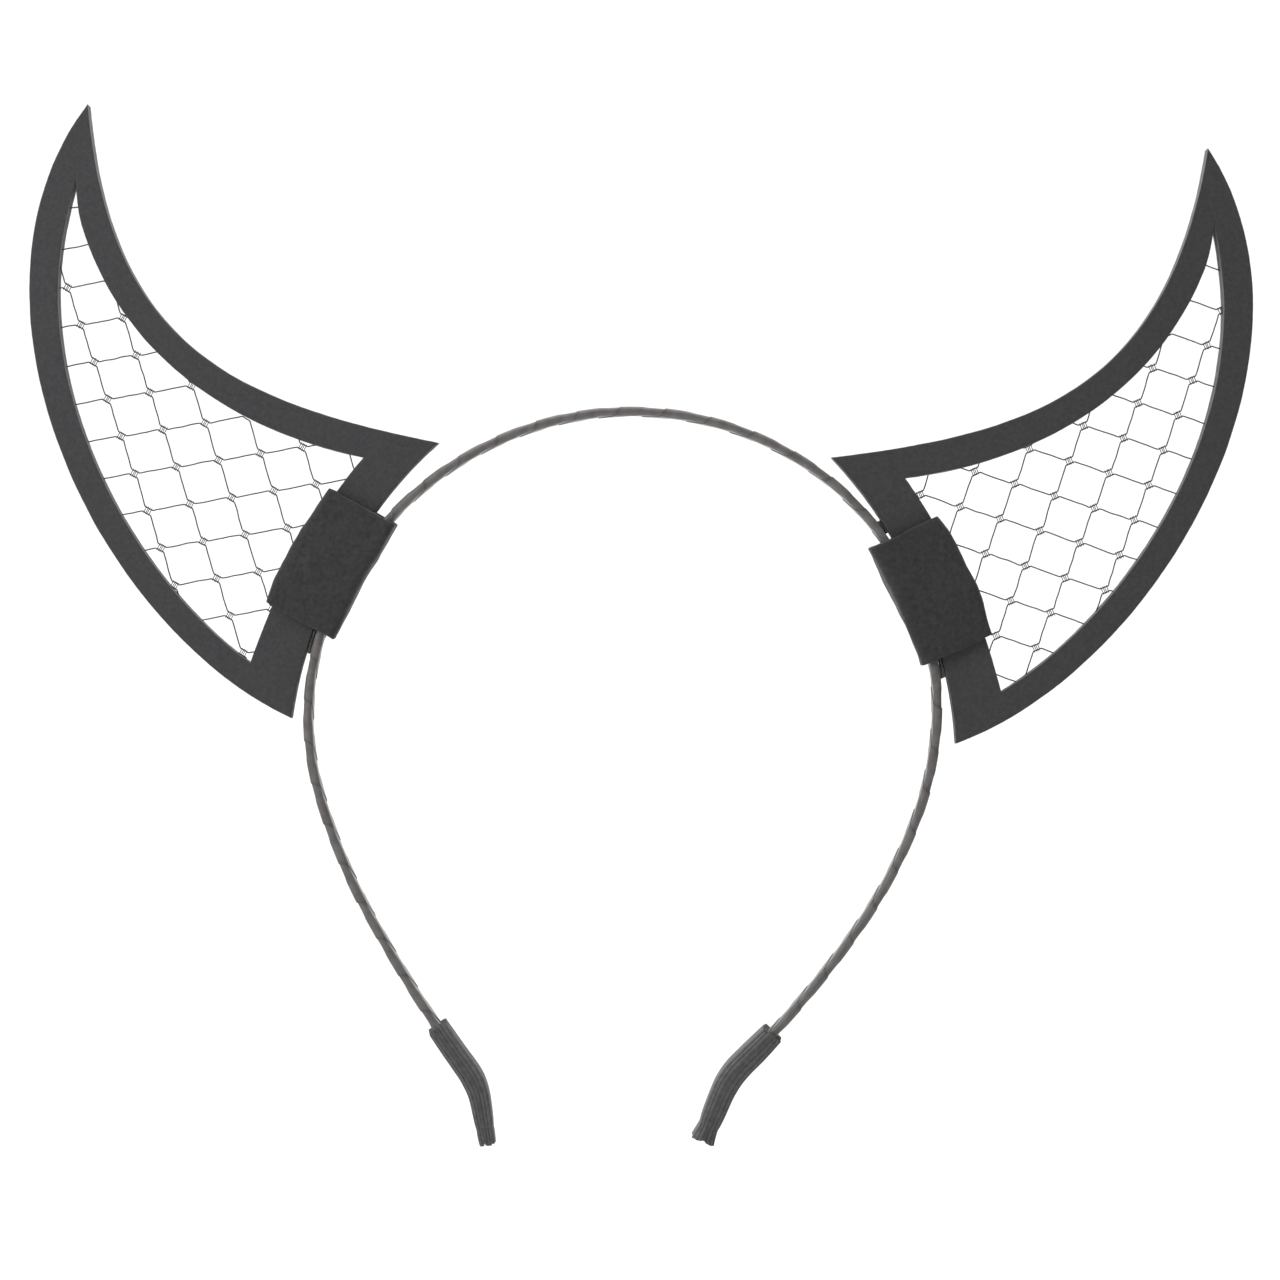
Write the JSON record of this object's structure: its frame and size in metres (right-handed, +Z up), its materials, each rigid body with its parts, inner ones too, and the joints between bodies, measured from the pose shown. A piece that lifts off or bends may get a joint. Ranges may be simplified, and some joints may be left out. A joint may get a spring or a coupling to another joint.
{
  "type": "devil horn headband",
  "caption": "Slim ribbon-wrapped spring headband with a pair of flat foam devil horns, netted windows, strapped to its sides.",
  "frame": {"origin": "centre of the head space under the arch, in the band's middle plane", "axes": "+Z up towards the crown of the band, -Y the front face of the horns, +X towards the right horn as seen from the front"},
  "size_m": [0.2441, 0.0084, 0.2077],
  "materials": {
    "steel": "satin",
    "ribbon": "satin",
    "sleeve": "matte",
    "foam": "matte",
    "strap": "matte",
    "netting": "matte",
    "glue": "gloss"
  },
  "bodies": {
    "crown": {"crown_core": "steel", "crown_ribbon": "ribbon"},
    "left_shoulder": {"left_shoulder_core": "steel", "left_shoulder_ribbon": "ribbon", "left_horn_front": "foam", "left_horn_back": "foam", "left_netting": "netting", "left_strap": "strap", "left_lower_glue": "glue"},
    "left_leg": {"left_leg_core": "steel", "left_leg_ribbon": "ribbon", "left_tip_sleeve": "sleeve"},
    "right_shoulder": {"right_shoulder_core": "steel", "right_shoulder_ribbon": "ribbon", "right_horn_front": "foam", "right_horn_back": "foam", "right_netting": "netting", "right_strap": "strap", "right_lower_glue": "glue", "right_upper_glue": "glue"},
    "right_leg": {"right_leg_core": "steel", "right_leg_ribbon": "ribbon", "right_tip_sleeve": "sleeve"}
  },
  "joints": [
    {"name": "left_crown_flex", "type": "hinge", "parent": "crown", "child": "left_shoulder", "pos_m": [-0.01958, 0, 0.05906], "axis": [0, 1, 0], "range_deg": [-3, 13], "stiffness_Nm_per_rad": 0.7},
    {"name": "left_leg_flex", "type": "hinge", "parent": "left_shoulder", "child": "left_leg", "pos_m": [-0.06202, 0, -0.00776], "axis": [0, 1, 0], "range_deg": [-3, 11], "stiffness_Nm_per_rad": 0.5},
    {"name": "right_crown_flex", "type": "hinge", "parent": "crown", "child": "right_shoulder", "pos_m": [0.01975, 0, 0.0601], "axis": [0, -1, 0], "range_deg": [-3, 13], "stiffness_Nm_per_rad": 0.7},
    {"name": "right_leg_flex", "type": "hinge", "parent": "right_shoulder", "child": "right_leg", "pos_m": [0.06103, 0, -0.01098], "axis": [0, -1, 0], "range_deg": [-3, 11], "stiffness_Nm_per_rad": 0.5}
  ]
}
